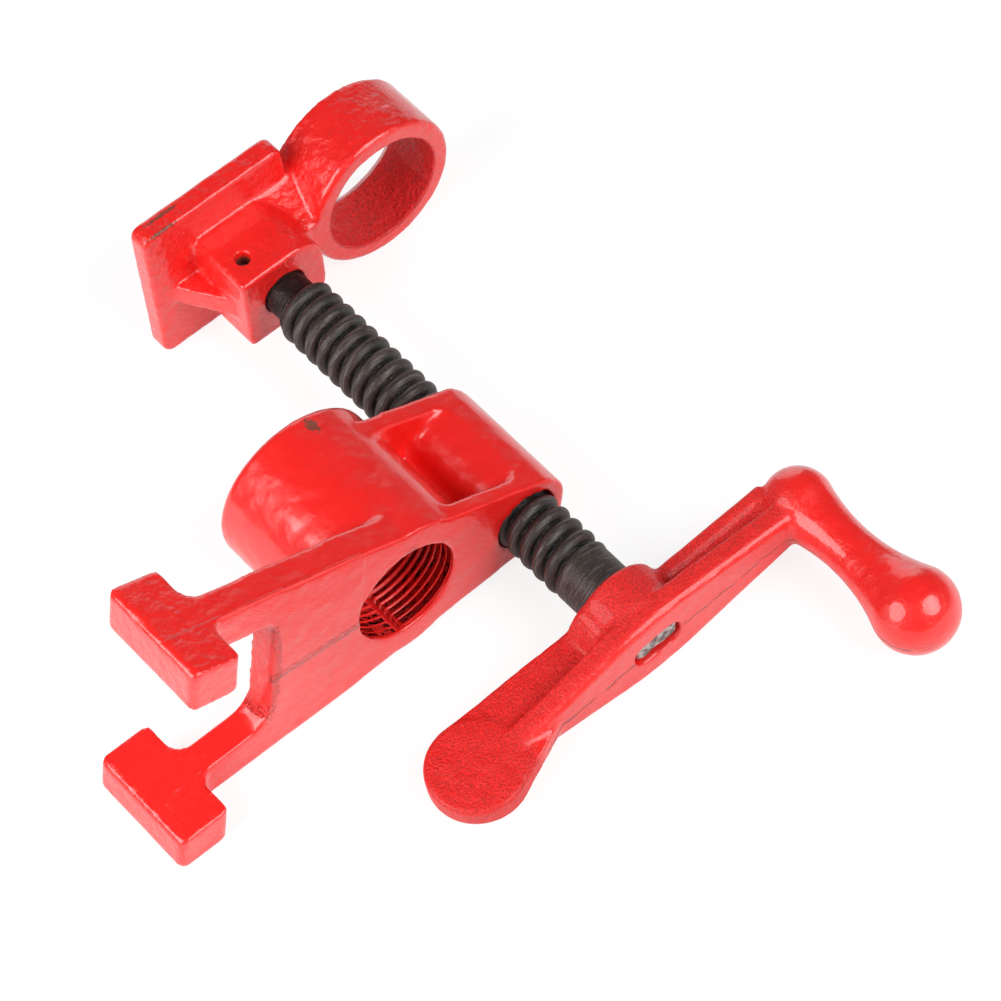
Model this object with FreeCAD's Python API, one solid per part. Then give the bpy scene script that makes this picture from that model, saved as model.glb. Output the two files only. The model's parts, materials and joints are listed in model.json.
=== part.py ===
# Head of a woodworking pipe clamp: cast head, crank handle, screw and swivelling jaw.
# It lies on a bench the way it is put down, on one foot, the jaw plate and the handle.
#
# The pieces are drawn with X along the screw and the pipe, from the jaw to the handle,
# Y from the feet to the screw and Z across the feet. The origin is on the pipe axis, at
# the front face of the head. The last step tips every piece into the lying position.

import FreeCAD, Part
import math
import os

os.makedirs("parts", exist_ok=True)

# Pipe and screw, which set the size of everything else
pipe_bore_radius = 12.6
screw_height = 33.0
screw_radius = 7.5

# Clearances
running_clearance = 0.05
pin_clearance = 0.04
disc_clearance = 0.2
seat_clearance = 0.03
cut_overrun = 2.0
point_tolerance = 0.0001

# Head casting: the plate with its two legs
plate_thickness = 7.4
foot_reach = 66.9
foot_outer_half = 32.0
foot_inner_half = 22.7
foot_height = 12.6
upper_foot_reach = 66.1
upper_foot_outer_half = 32.5
upper_foot_inner_half = 20.9
upper_foot_height = 12.4
foot_front = 10.4
foot_back = 17.4
knee_reach = 15.0
knee_half = 22.8
knee_radius = 30.0
arch_reach = 36.2
arch_half = 16.6
arch_corner_radius = 4.5
arch_lower_radius = 6.5
foot_edge_radius = 1.6
foot_inside_radius = 3.5

# Head casting: the boss round the screw, the pockets and the pipe socket
boss_radius = 10.8
boss_depth = 32.7
boss_back_radius = 6.0
boss_front_radius = 1.2
boss_start = 6.0
pocket_start = 9.5
pocket_front_wall = 4.0
pocket_back_wall = 4.6
pocket_corner_radius = 4.0
pocket_web_half = 2.0
socket_radius = 19.6
socket_length = 39.3
socket_rim_chamfer = 1.2
socket_mouth_chamfer = 1.0

# Screw
thread_start = 76.5
thread_lead = 4.0
thread_turns = 23
thread_root_radius = 6.2
neck_radius = 5.4
groove_radius = 3.7
groove_place = 88.3
groove_width = 4.2
shank_radius = 7.1
shank_end = 34.0
tang_length = 11.0
tang_thickness = 4.6
tang_corner_radius = 1.6

# Jaw
jaw_face_place = 105.0
jaw_plate_thickness = 5.6
jaw_plate_half = 20.8
jaw_plate_outer = 22.9
jaw_plate_inner = 16.0
jaw_plate_corner_radius = 2.6
jaw_edge_chamfer = 0.6
jaw_boss_outer_width = 10.8
jaw_boss_inner_width = 11.4
jaw_boss_half_height = 11.1
jaw_boss_front_place = 81.6
jaw_boss_corner_radius = 7.5
jaw_boss_outer_radius = 1.2
jaw_pocket_floor_place = 99.0
gusset_half = 2.8
gusset_reach = 18.0
gusset_front_place = 85.2
gusset_lean_angle = 8.5
ring_radius = 19.3
ring_bore_radius = 14.7
ring_front_place = 87.8
ring_edge_chamfer = 0.9
ring_back_chamfer = 2.6
neck_half = 5.2
neck_root_half = 11.0

# Pin that holds the jaw on the screw, and the disc that takes the thrust
pin_radius = 1.7
pin_depth = 8.0
pin_recess = 4.5
disc_thickness = 1.6
disc_edge_chamfer = 0.3

# Crank handle
handle_front_place = 42.0
handle_back_place = 29.4
hub_back_place = 27.2
hub_radius = 10.6
hub_tail_radius = 8.2
hub_tail_reach = 13.2
hub_edge_chamfer = 0.9
flange_thickness = 5.5
flange_half = 10.1
flange_end_half = 4.9
flange_tip_half = 1.4
flange_crown_radius = 60.0
flange_edge_chamfer = 1.2
slot_width = 6.4
slot_length = 12.4
slot_end_share = 0.9
web_half = 2.4
rim_width = 3.4
rim_half = 3.4
rim_edge_radius = 1.0
paddle_radius = 11.2
paddle_reach = 46.3
paddle_place = 37.8
paddle_half = 2.9
paddle_edge_chamfer = 0.6
paddle_neck_reach = 25.4
paddle_neck_half = 2.3
grip_reach = 43.6
grip_root_radius = 8.0
grip_waist_radius = 44.0
grip_bulb_radius = 9.7
grip_bulb_place = 73.3
handle_angle = 15.5

AXIS = FreeCAD.Vector(1, 0, 0)


def vec(x, y, z):
    return FreeCAD.Vector(x, y, z)


def rounded_wire(corners):
    """Closed wire through (point, radius) corners, with a tangent arc at each radius."""
    starts = []
    arcs = []
    ends = []
    for index, (corner, radius) in enumerate(corners):
        before = (corners[index - 1][0] - corner).normalize()
        after = (corners[(index + 1) % len(corners)][0] - corner).normalize()
        half_angle = before.getAngle(after) / 2
        setback = radius / math.tan(half_angle)
        start = corner + before * setback
        end = corner + after * setback
        starts.append(start)
        ends.append(end)
        if radius > 0:
            bisector = (before + after).normalize()
            middle = corner + bisector * (radius / math.sin(half_angle) - radius)
            arcs.append(Part.Arc(start, middle, end).toShape())
        else:
            arcs.append(None)
    edges = []
    for index, arc in enumerate(arcs):
        if arc is not None:
            edges.append(arc)
        following = starts[(index + 1) % len(starts)]
        if ends[index].distanceToPoint(following) > point_tolerance:
            edges.append(Part.makeLine(ends[index], following))
    return Part.Wire(edges)


def prism(corners, direction):
    """Solid made by pushing a flat outline along a direction."""
    return Part.Face(rounded_wire(corners)).extrude(direction)


def bar(radius, start, end, y=0, z=0):
    """Round bar along X between two places."""
    return Part.makeCylinder(radius, end - start, vec(start, y, z), AXIS)


def turned(profile, y=0):
    """Solid of revolution from the edges of a half section, about a line along X at y."""
    solid = Part.Face(Part.Wire(profile)).revolve(vec(0, 0, 0), AXIS, 360)
    solid.translate(vec(0, y, 0))
    return solid


def line_profile(points):
    """Edges of the closed half section whose corners are (x, radius) points."""
    corners = [vec(x, radius, 0) for x, radius in points]
    return [Part.makeLine(corners[i - 1], corners[i]) for i in range(len(corners))]


def rim_edges(shape, x):
    """Edges of a piece that lie in the plane across the screw at x."""
    rims = []
    for edge in shape.Edges:
        box = edge.BoundBox
        if abs(box.XMin - x) < point_tolerance and abs(box.XMax - x) < point_tolerance:
            rims.append(edge)
    return rims


def tangent_point(point, centre, radius, side):
    """Where the line from a point touches a circle in the XY plane, on the chosen side."""
    away = point - centre
    swing = math.acos(radius / away.Length) * side
    turned_x = away.x * math.cos(swing) + away.y * math.sin(swing)
    turned_y = away.y * math.cos(swing) - away.x * math.sin(swing)
    return centre + vec(turned_x, turned_y, 0) * (radius / away.Length)


def about_screw(shape, degrees):
    """Turn a piece about the screw and carry it from the screw axis to its place."""
    moved = shape.copy()
    moved.rotate(vec(0, 0, 0), AXIS, degrees)
    moved.translate(vec(0, screw_height, 0))
    return moved


def head_plan(reach, height, depth):
    """Half of the head seen from above, from the middle plane out to the side of one foot."""
    bar_top = height - reach
    boss_outside = screw_height + boss_radius
    return prism([
        (vec(-foot_back, -reach, 0), foot_edge_radius),
        (vec(foot_front, -reach, 0), foot_edge_radius),
        (vec(foot_front, bar_top, 0), foot_edge_radius),
        (vec(0, bar_top, 0), foot_inside_radius),
        (vec(0, boss_outside, 0), boss_front_radius),
        (vec(-boss_depth, boss_outside, 0), boss_back_radius),
        (vec(-boss_depth, boss_start, 0), 0),
        (vec(-plate_thickness, boss_start, 0), foot_inside_radius),
        (vec(-plate_thickness, bar_top, 0), foot_inside_radius),
        (vec(-foot_back, bar_top, 0), foot_edge_radius),
    ], vec(0, 0, depth))


def head_casting():
    # The taper of the head touches the round of the screw boss
    knee_distance = math.hypot(screw_height + knee_reach, knee_half)
    taper = math.atan2(knee_half, screw_height + knee_reach)
    taper -= math.asin(boss_radius / knee_distance)
    apex = screw_height + boss_radius / math.sin(taper)

    # Seen along the pipe: two legs with an arch between, closing on the screw boss
    side = [
        (vec(0, -upper_foot_reach, upper_foot_outer_half), foot_edge_radius),
        (vec(0, -knee_reach, knee_half), knee_radius),
        (vec(0, apex, 0), boss_radius),
        (vec(0, -knee_reach, -knee_half), knee_radius),
        (vec(0, -foot_reach, -foot_outer_half), foot_edge_radius),
        (vec(0, -foot_reach, -foot_inner_half), foot_edge_radius),
        (vec(0, -arch_reach, -arch_half), arch_lower_radius),
        (vec(0, -arch_reach, arch_half), arch_corner_radius),
        (vec(0, -upper_foot_reach, upper_foot_inner_half), foot_edge_radius),
    ]
    span = foot_front + max(boss_depth, foot_back)
    side_prism = prism(side, AXIS * span)
    side_prism.translate(AXIS * (foot_front - span))

    # Seen from above: T feet, thin plate, deep boss. The two feet differ a little.
    upper_plan = head_plan(upper_foot_reach, upper_foot_height, upper_foot_outer_half)
    lower_plan = head_plan(foot_reach, foot_height, -foot_outer_half)
    body = side_prism.common(upper_plan.fuse(lower_plan).removeSplitter())

    socket = bar(socket_radius, -socket_length, 0)
    socket = socket.makeChamfer(socket_rim_chamfer, rim_edges(socket, -socket_length))
    body = body.fuse(socket)

    # One pocket on each side, in the valley between the socket and the screw boss
    pocket = [
        (vec(-boss_depth + pocket_back_wall, pocket_start, 0), pocket_corner_radius),
        (vec(-pocket_front_wall, pocket_start, 0), pocket_corner_radius),
        (vec(-pocket_front_wall, screw_height, 0), pocket_corner_radius),
        (vec(-boss_depth + pocket_back_wall, screw_height, 0), pocket_corner_radius),
    ]
    hollow = prism(pocket, vec(0, 0, knee_half))
    hollow.translate(vec(0, 0, pocket_web_half))
    hollow = hollow.cut(bar(socket_radius, -boss_depth, 0))
    hollow = hollow.cut(bar(boss_radius, -boss_depth, 0, screw_height))
    body = body.cut(hollow)
    body = body.cut(hollow.mirror(vec(0, 0, 0), vec(0, 0, 1)))

    mouth = pipe_bore_radius + socket_mouth_chamfer
    back = -socket_length
    bore = turned(line_profile([
        (back - cut_overrun, 0),
        (back - cut_overrun, mouth),
        (back, mouth),
        (back + socket_mouth_chamfer, pipe_bore_radius),
        (cut_overrun, pipe_bore_radius),
        (cut_overrun, 0),
    ]))
    body = body.cut(bore)
    screw_hole = bar(screw_radius + running_clearance, -boss_depth - cut_overrun, cut_overrun, screw_height)
    return body.cut(screw_hole)


def clamp_screw():
    tip = disc_clearance + disc_thickness - jaw_pocket_floor_place
    root = neck_radius
    groove_back = -groove_place - groove_width / 2
    groove_front = -groove_place + groove_width / 2
    chamfer = (neck_radius - groove_radius) / 2
    outline = [
        (tip, 0),
        (tip, root - chamfer),
        (tip + chamfer, root),
        (groove_back, root),
        (groove_back, groove_radius),
        (groove_front, groove_radius),
        (groove_front, root),
        (-thread_start, root),
    ]

    # Each turn of the thread is a ridge; the last one runs into the plain shank
    for turn in range(thread_turns):
        ridge = turn * thread_lead - thread_start
        outline.append((ridge, thread_root_radius))
        outline.append((ridge + thread_lead / 2, screw_radius))
    outline.append((thread_turns * thread_lead - thread_start, thread_root_radius))
    outline.append((thread_turns * thread_lead - thread_start + thread_lead / 2, shank_radius))
    outline.append((shank_end, shank_radius))
    outline.append((shank_end, 0))
    screw = turned(line_profile(outline))

    # Flat tang that fills the slot in the handle
    half_long = tang_length / 2
    half_thick = tang_thickness / 2
    tang = prism([
        (vec(0, -half_long, -half_thick), tang_corner_radius),
        (vec(0, half_long, -half_thick), tang_corner_radius),
        (vec(0, half_long, half_thick), tang_corner_radius),
        (vec(0, -half_long, half_thick), tang_corner_radius),
    ], AXIS * (handle_front_place - shank_end))
    tang.translate(AXIS * shank_end)
    return about_screw(screw.fuse(tang), handle_angle)


def sliding_jaw():
    face = -jaw_face_place
    plate_front = face + jaw_plate_thickness
    plate = prism([
        (vec(face, -jaw_plate_outer, -jaw_plate_half), jaw_plate_corner_radius),
        (vec(face, jaw_plate_inner, -jaw_plate_half), jaw_plate_corner_radius),
        (vec(face, jaw_plate_inner, jaw_plate_half), jaw_plate_corner_radius),
        (vec(face, -jaw_plate_outer, jaw_plate_half), jaw_plate_corner_radius),
    ], AXIS * jaw_plate_thickness)
    plate = plate.makeChamfer(jaw_edge_chamfer, rim_edges(plate, face) + rim_edges(plate, plate_front))

    # Boss round the screw end, rounded on the side of the ring
    boss_front = -jaw_boss_front_place
    boss = prism([
        (vec(face, -jaw_boss_outer_width, -jaw_boss_half_height), jaw_boss_outer_radius),
        (vec(face, jaw_boss_inner_width, -jaw_boss_half_height), jaw_boss_corner_radius),
        (vec(face, jaw_boss_inner_width, jaw_boss_half_height), jaw_boss_corner_radius),
        (vec(face, -jaw_boss_outer_width, jaw_boss_half_height), jaw_boss_outer_radius),
    ], AXIS * (boss_front - face))
    boss = boss.makeChamfer(jaw_edge_chamfer, rim_edges(boss, boss_front))

    # The gusset leans down a little towards the plate
    gusset_root = plate_front - jaw_plate_thickness / 2
    gusset = prism([
        (vec(gusset_root, 0, -gusset_half), 0),
        (vec(gusset_root, -gusset_reach, -gusset_half), 0),
        (vec(plate_front, -gusset_reach, -gusset_half), 0),
        (vec(-gusset_front_place, -jaw_boss_outer_width, -gusset_half), 0),
        (vec(-gusset_front_place, 0, -gusset_half), 0),
    ], vec(0, 0, 2 * gusset_half))
    gusset.rotate(vec(-gusset_front_place, 0, 0), vec(0, 1, 0), -gusset_lean_angle)

    # The neck to the ring spreads towards the plate
    ring_front = -ring_front_place
    neck = prism([
        (vec(face, 0, -neck_root_half), 0),
        (vec(plate_front, 0, -neck_root_half), 0),
        (vec(ring_front, 0, -neck_half), 0),
        (vec(ring_front, 0, neck_half), 0),
        (vec(plate_front, 0, neck_root_half), 0),
        (vec(face, 0, neck_root_half), 0),
    ], vec(0, screw_height - ring_bore_radius, 0))
    ring = bar(ring_radius, face, ring_front, screw_height)
    ring = ring.makeChamfer(ring_edge_chamfer, rim_edges(ring, ring_front))
    jaw = plate.multiFuse([boss, gusset, neck, ring]).removeSplitter()
    jaw = jaw.cut(turned(line_profile([
        (face - cut_overrun, 0),
        (face - cut_overrun, ring_bore_radius + ring_back_chamfer),
        (face, ring_bore_radius + ring_back_chamfer),
        (face + ring_back_chamfer, ring_bore_radius),
        (ring_front + cut_overrun, ring_bore_radius),
        (ring_front + cut_overrun, 0),
    ]), screw_height))

    pocket_radius = neck_radius + running_clearance
    jaw = jaw.cut(bar(pocket_radius, -jaw_pocket_floor_place, boss_front + cut_overrun))
    pin_hole = Part.makeCylinder(
        pin_radius + pin_clearance, pin_depth + jaw_boss_half_height + cut_overrun,
        vec(-groove_place, -groove_radius - pin_radius - running_clearance, -pin_depth), vec(0, 0, 1))
    return about_screw(jaw.cut(pin_hole), lying_roll())


def jaw_pin():
    length = pin_depth + jaw_boss_half_height - pin_recess
    place = vec(-groove_place, -groove_radius - pin_radius - running_clearance, -pin_depth)
    return about_screw(Part.makeCylinder(pin_radius, length, place, vec(0, 0, 1)), lying_roll())


def thrust_disc():
    back = disc_clearance / 2 - jaw_pocket_floor_place
    disc = bar(neck_radius, back, back + disc_thickness)
    disc = disc.makeChamfer(disc_edge_chamfer, rim_edges(disc, back) + rim_edges(disc, back + disc_thickness))
    return about_screw(disc, 0)


def crank_handle():
    front = handle_front_place
    flange_back = front - flange_thickness

    # Front flange: crowned at the hub, tapering to the grip and to the paddle
    grip_taper = math.atan2(flange_half - flange_end_half, grip_reach)
    tip_taper = math.atan2(flange_half - flange_tip_half, paddle_reach)
    crown_rise = flange_crown_radius * (1 / math.cos((grip_taper + tip_taper) / 2) - 1)
    crown = flange_half + crown_rise
    outline = [
        (vec(flange_back, -paddle_reach, -flange_tip_half), 0),
        (vec(flange_back, 0, -crown), flange_crown_radius),
        (vec(flange_back, grip_reach, -flange_end_half), 0),
        (vec(flange_back, grip_reach, flange_end_half), 0),
        (vec(flange_back, 0, crown), flange_crown_radius),
        (vec(flange_back, -paddle_reach, flange_tip_half), 0),
    ]
    flange = prism(outline, AXIS * flange_thickness)
    flange = flange.makeChamfer(flange_edge_chamfer, rim_edges(flange, front))

    # Web behind the flange: arm on one side, neck of the paddle on the other
    arm_end = grip_reach - grip_root_radius / 2
    arm = prism([
        (vec(handle_back_place, 0, -web_half), 0),
        (vec(handle_back_place, arm_end, -web_half), 0),
        (vec(front - flange_edge_chamfer, arm_end, -web_half), 0),
        (vec(front - flange_edge_chamfer, 0, -web_half), 0),
    ], vec(0, 0, 2 * web_half))
    rim = prism([
        (vec(handle_back_place, 0, -rim_half), rim_edge_radius),
        (vec(handle_back_place + rim_width, 0, -rim_half), rim_edge_radius),
        (vec(handle_back_place + rim_width, 0, rim_half), rim_edge_radius),
        (vec(handle_back_place, 0, rim_half), rim_edge_radius),
    ], vec(0, arm_end, 0))

    # Paddle: a round disc on edge, with a neck whose sides run off it to the hub and the flange
    disc_place = vec(paddle_place, -paddle_reach, -paddle_half)
    paddle = Part.makeCylinder(paddle_radius, 2 * paddle_half, disc_place, vec(0, 0, 1))
    paddle = paddle.makeChamfer(paddle_edge_chamfer, paddle.Edges)
    neck_base = vec(paddle_place, -paddle_reach, -paddle_neck_half)
    neck_front = vec(front - flange_edge_chamfer / 2, -paddle_neck_reach, -paddle_neck_half)
    neck_back = vec(hub_back_place, -hub_tail_reach / 2, -paddle_neck_half)
    paddle_neck = prism([
        (tangent_point(neck_back, neck_base, paddle_radius, -1), 0),
        (neck_back, 0),
        (vec(front - flange_edge_chamfer, 0, -paddle_neck_half), 0),
        (neck_front, 0),
        (tangent_point(neck_front, neck_base, paddle_radius, 1), 0),
    ], vec(0, 0, 2 * paddle_neck_half))
    hub = bar(hub_radius, hub_back_place, flange_back)
    hub = hub.makeChamfer(hub_edge_chamfer, rim_edges(hub, hub_back_place))
    hub_tail = bar(hub_tail_radius, hub_back_place, flange_back, hub_tail_radius - hub_tail_reach)
    hub_tail = hub_tail.makeChamfer(hub_edge_chamfer, rim_edges(hub_tail, hub_back_place))

    # Grip: a small and a large ball joined by a hollow waist, turned about a line along X
    root_place = handle_back_place + grip_root_radius
    span = grip_bulb_place - root_place
    root_distance = grip_root_radius + grip_waist_radius
    bulb_distance = grip_bulb_radius + grip_waist_radius
    waist_offset = (span ** 2 + root_distance ** 2 - bulb_distance ** 2) / (2 * span)
    waist_centre = vec(root_place + waist_offset, math.sqrt(root_distance ** 2 - waist_offset ** 2), 0)
    root_centre = vec(root_place, 0, 0)
    bulb_centre = vec(grip_bulb_place, 0, 0)
    root_touch = root_centre + (waist_centre - root_centre) * (grip_root_radius / root_distance)
    bulb_touch = bulb_centre + (waist_centre - bulb_centre) * (grip_bulb_radius / bulb_distance)
    neck_point = waist_centre - vec(0, grip_waist_radius, 0)
    heel = vec(handle_back_place, 0, 0)
    tip = vec(grip_bulb_place + grip_bulb_radius, 0, 0)
    heel_middle = root_centre + (heel + root_touch - root_centre * 2).normalize() * grip_root_radius
    bulb_middle = bulb_centre + (tip + bulb_touch - bulb_centre * 2).normalize() * grip_bulb_radius
    grip = turned([
        Part.Arc(heel, heel_middle, root_touch).toShape(),
        Part.Arc(root_touch, neck_point, bulb_touch).toShape(),
        Part.Arc(bulb_touch, bulb_middle, tip).toShape(),
        Part.makeLine(tip, heel),
    ])
    grip.translate(vec(0, grip_reach, 0))

    handle = flange.multiFuse([arm, rim, paddle, paddle_neck, hub, hub_tail, grip]).removeSplitter()
    handle = handle.cut(bar(shank_radius + seat_clearance, hub_back_place - cut_overrun, shank_end + seat_clearance))
    half_long = slot_length / 2
    half_wide = slot_width / 2
    corner_radius = half_wide * slot_end_share
    slot = prism([
        (vec(shank_end, -half_long, -half_wide), corner_radius),
        (vec(shank_end, half_long, -half_wide), corner_radius),
        (vec(shank_end, half_long, half_wide), corner_radius),
        (vec(shank_end, -half_long, half_wide), corner_radius),
    ], AXIS * (front - shank_end + cut_overrun))
    return about_screw(handle.cut(slot), handle_angle)


def lying_slope():
    """How far the screw drops towards the handle, per length, when the clamp lies down."""
    jaw_contact = jaw_plate_thickness - jaw_face_place - jaw_edge_chamfer
    hub_contact = handle_front_place - flange_thickness
    return (jaw_plate_half - hub_radius) / (hub_contact - jaw_contact)


def lying_roll():
    """Roll of the head about the screw, in degrees, that brings one foot to the bench."""
    jaw_contact = jaw_plate_thickness - jaw_face_place - jaw_edge_chamfer
    foot_depth = jaw_plate_half - lying_slope() * (foot_front - jaw_contact)
    splay = (foot_outer_half - knee_half) / (foot_reach - knee_reach)
    rolls = []
    for height in (foot_edge_radius, foot_height - foot_edge_radius):
        reach = screw_height + foot_reach - height
        half = foot_outer_half - height * splay
        swing = math.asin(foot_depth / math.hypot(reach, half))
        rolls.append(math.degrees(math.atan2(half, reach) - swing))
    return max(rolls)


def lying_placement():
    """Tips the clamp so that the jaw plate, the handle and one foot touch the bench."""
    tip = FreeCAD.Rotation(vec(0, 1, 0), math.degrees(math.atan(lying_slope())))
    roll = FreeCAD.Rotation(AXIS, -lying_roll())
    return FreeCAD.Placement(vec(0, 0, 0), tip * roll)


PIECES = {
    "head_casting": head_casting,
    "clamp_screw": clamp_screw,
    "crank_handle": crank_handle,
    "sliding_jaw": sliding_jaw,
    "jaw_pin": jaw_pin,
    "thrust_disc": thrust_disc,
}

lying = lying_placement()
for name, build in PIECES.items():
    piece = build().Solids[0]
    piece.Placement = lying.multiply(piece.Placement)
    print(name, "valid" if piece.isValid() else "NOT VALID", round(piece.Volume), "mm3")
    piece.exportStep("parts/" + name + ".step")
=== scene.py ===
# %% [markdown]
# # A pipe clamp head, dressed for its portrait
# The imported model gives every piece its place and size. This file adds what makes it look real:
# the softened skin of the iron castings, the screw's thread, the enamel and the oiled steel.
# It is a lesson in cells: each cell does one step, and the text before it says why.

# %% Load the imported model
import json
import math

import bpy
import numpy as np
from mathutils import Matrix, Vector


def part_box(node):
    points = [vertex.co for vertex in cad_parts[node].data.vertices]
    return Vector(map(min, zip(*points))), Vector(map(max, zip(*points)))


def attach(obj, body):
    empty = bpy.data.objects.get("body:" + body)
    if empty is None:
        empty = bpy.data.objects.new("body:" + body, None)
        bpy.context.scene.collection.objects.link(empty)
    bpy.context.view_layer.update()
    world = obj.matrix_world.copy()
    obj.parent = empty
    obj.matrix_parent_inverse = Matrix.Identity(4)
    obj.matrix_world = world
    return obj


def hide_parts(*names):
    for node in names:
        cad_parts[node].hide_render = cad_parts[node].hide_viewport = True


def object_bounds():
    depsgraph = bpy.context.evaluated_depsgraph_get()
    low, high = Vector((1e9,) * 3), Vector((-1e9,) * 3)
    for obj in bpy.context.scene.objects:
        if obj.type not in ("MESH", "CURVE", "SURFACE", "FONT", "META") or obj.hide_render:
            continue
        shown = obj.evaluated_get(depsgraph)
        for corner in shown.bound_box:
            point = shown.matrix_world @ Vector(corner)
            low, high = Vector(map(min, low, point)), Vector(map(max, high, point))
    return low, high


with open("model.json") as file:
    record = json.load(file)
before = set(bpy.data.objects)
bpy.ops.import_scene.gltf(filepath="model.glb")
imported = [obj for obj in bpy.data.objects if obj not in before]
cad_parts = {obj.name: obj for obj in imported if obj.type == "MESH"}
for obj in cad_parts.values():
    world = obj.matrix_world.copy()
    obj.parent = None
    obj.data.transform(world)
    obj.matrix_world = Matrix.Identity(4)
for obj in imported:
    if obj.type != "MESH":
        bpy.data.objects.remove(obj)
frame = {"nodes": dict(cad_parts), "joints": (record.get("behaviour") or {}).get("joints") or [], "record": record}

MM = 0.001
cad_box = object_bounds()
X_AXIS, Y_AXIS, Z_AXIS = 0, 1, 2
AXES = (X_AXIS, Y_AXIS, Z_AXIS)
print("packed pieces:", sorted(frame["nodes"]))

# %% [markdown]
# ## Directions of the clamp
# The clamp lies tipped over on the bench, so its own directions aren't those of the room.
# The joints and the foot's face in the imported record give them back: X runs along the screw
# towards the handle, Y from the feet to the screw, and Z across the feet. The head, the screw, the
# turned handle and the jaw each get a matrix, so that later places can be given in millimetres.

# %% Directions of the head, the jaw and the handle
JOINTS = {joint["name"]: joint for joint in frame["joints"]}
MOUNTS = {mount["name"]: mount for mount in frame["record"]["mounts"]}
SCREW_PLACE = Vector(JOINTS["screw_spin"]["pos_m"])
HANDLE_ANGLE = 15.5
ALONG = Vector(JOINTS["screw_spin"]["axis"]).normalized()


def own_frame(along, up_from_feet, origin):
    """Matrix that carries a point from a piece's own directions to the room."""
    across = along.cross(up_from_feet).normalized()
    upright = across.cross(along).normalized()
    turn = Matrix((along, upright, across)).transposed().to_4x4()
    return Matrix.Translation(origin) @ turn


HEAD = own_frame(ALONG, -Vector(MOUNTS["foot_sole_upper"]["axis"]), Vector((0, 0, 0)))
SCREW = own_frame(ALONG, HEAD.col[Y_AXIS].to_3d(), SCREW_PLACE)
HANDLE = SCREW @ Matrix.Rotation(math.radians(HANDLE_ANGLE), 4, "X")
JAW = own_frame(ALONG, Vector((0, 1, 0)), SCREW_PLACE)
SCREW_LINE = (0, 0)
PIPE_LINE = (0, 0)
RING_LINE = (33.0, 0.0)
print("the screw points along", [round(value, 4) for value in ALONG])

# %% [markdown]
# ## The camera
# The picture was taken with a long lens from above. Three angles, a distance and a small step to the
# side and up place the camera in the clamp's own directions, and the head's matrix carries it to the
# room. Numbers are kept here, and not an aim at a target, because the picture's angle is known.

# %% Camera
IMAGE_SIZE = 1001
FOCAL_PIXELS = 4500
SENSOR = 36.0
CAMERA_SWING = math.radians(43.958)
CAMERA_HEIGHT = math.radians(49.434)
CAMERA_ROLL = math.radians(7.244)
CAMERA_RIGHT = 19.331 * MM
CAMERA_UP = 19.163 * MM
CAMERA_DISTANCE = 938.38 * MM


def place_camera():
    """Camera at the picture's angle, with a lens as long as the picture's."""
    swing, height = CAMERA_SWING, CAMERA_HEIGHT
    forward = math.cos(height)
    ahead = Vector((-math.sin(swing) * forward, math.cos(swing) * forward, -math.sin(height)))
    level = Vector((math.cos(swing), math.sin(swing), 0))
    over = level.cross(ahead)
    right = math.cos(CAMERA_ROLL) * level + math.sin(CAMERA_ROLL) * over
    up = math.cos(CAMERA_ROLL) * over - math.sin(CAMERA_ROLL) * level
    place = right * CAMERA_RIGHT + up * CAMERA_UP - ahead * CAMERA_DISTANCE
    turn = Matrix((right, up, -ahead)).transposed().to_4x4()
    bpy.ops.object.camera_add()
    camera = bpy.context.object
    camera.name = "photo_camera"
    camera.matrix_world = HEAD @ Matrix.Translation(place) @ turn
    camera.data.sensor_width = SENSOR
    camera.data.lens = FOCAL_PIXELS * SENSOR / IMAGE_SIZE
    bpy.context.scene.camera = camera
    return camera


camera = place_camera()
print("camera at", [round(value, 3) for value in camera.matrix_world.translation])

# %% [markdown]
# ## Formulas that make shader nodes
# A material is a graph of nodes. Wrapping a socket in a small class lets a formula such as
# `1 - mask * 0.5` add the Math nodes by itself, which reads better than a page of links. The other
# class is one material: it adds nodes, and knows the patterns that the finishes share, such as noise
# of a size in millimetres, or the distance from a line.

# %% Formula helpers
RAGGED_SIZE = 0.6
SPOT_EDGE = (0.7, 0.95)
STREAK_DETAIL = 3.0

# The Mix node has sockets of the same name for numbers and colours, so its colour sockets go by number.
MIX_MASK, MIX_FIRST, MIX_SECOND, MIX_RESULT = 0, 6, 7, 2


class Socket:
    """A shader value that can be used in a formula."""

    def __init__(self, finish, link):
        self.finish = finish
        self.link = link

    def math(self, operation, *values, clamp=False):
        """Add a Math node that works on these values."""
        settings = {"operation": operation, "use_clamp": clamp}
        return self.finish.node("ShaderNodeMath", settings, dict(enumerate(values)))

    def __add__(self, other):
        return self.math("ADD", self, other)

    def __radd__(self, other):
        return self.math("ADD", other, self)

    def __sub__(self, other):
        return self.math("SUBTRACT", self, other)

    def __rsub__(self, other):
        return self.math("SUBTRACT", other, self)

    def __mul__(self, other):
        return self.math("MULTIPLY", self, other)

    def __rmul__(self, other):
        return self.math("MULTIPLY", other, self)

    def size(self):
        """The value without its sign."""
        return self.math("ABSOLUTE", self)

    def step(self, low, high):
        """0 below low, 1 above high, and smooth between."""
        settings = {"interpolation_type": "SMOOTHSTEP"}
        values = {"Value": self, "From Min": low, "From Max": high}
        return self.finish.node("ShaderNodeMapRange", settings, values)


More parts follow.
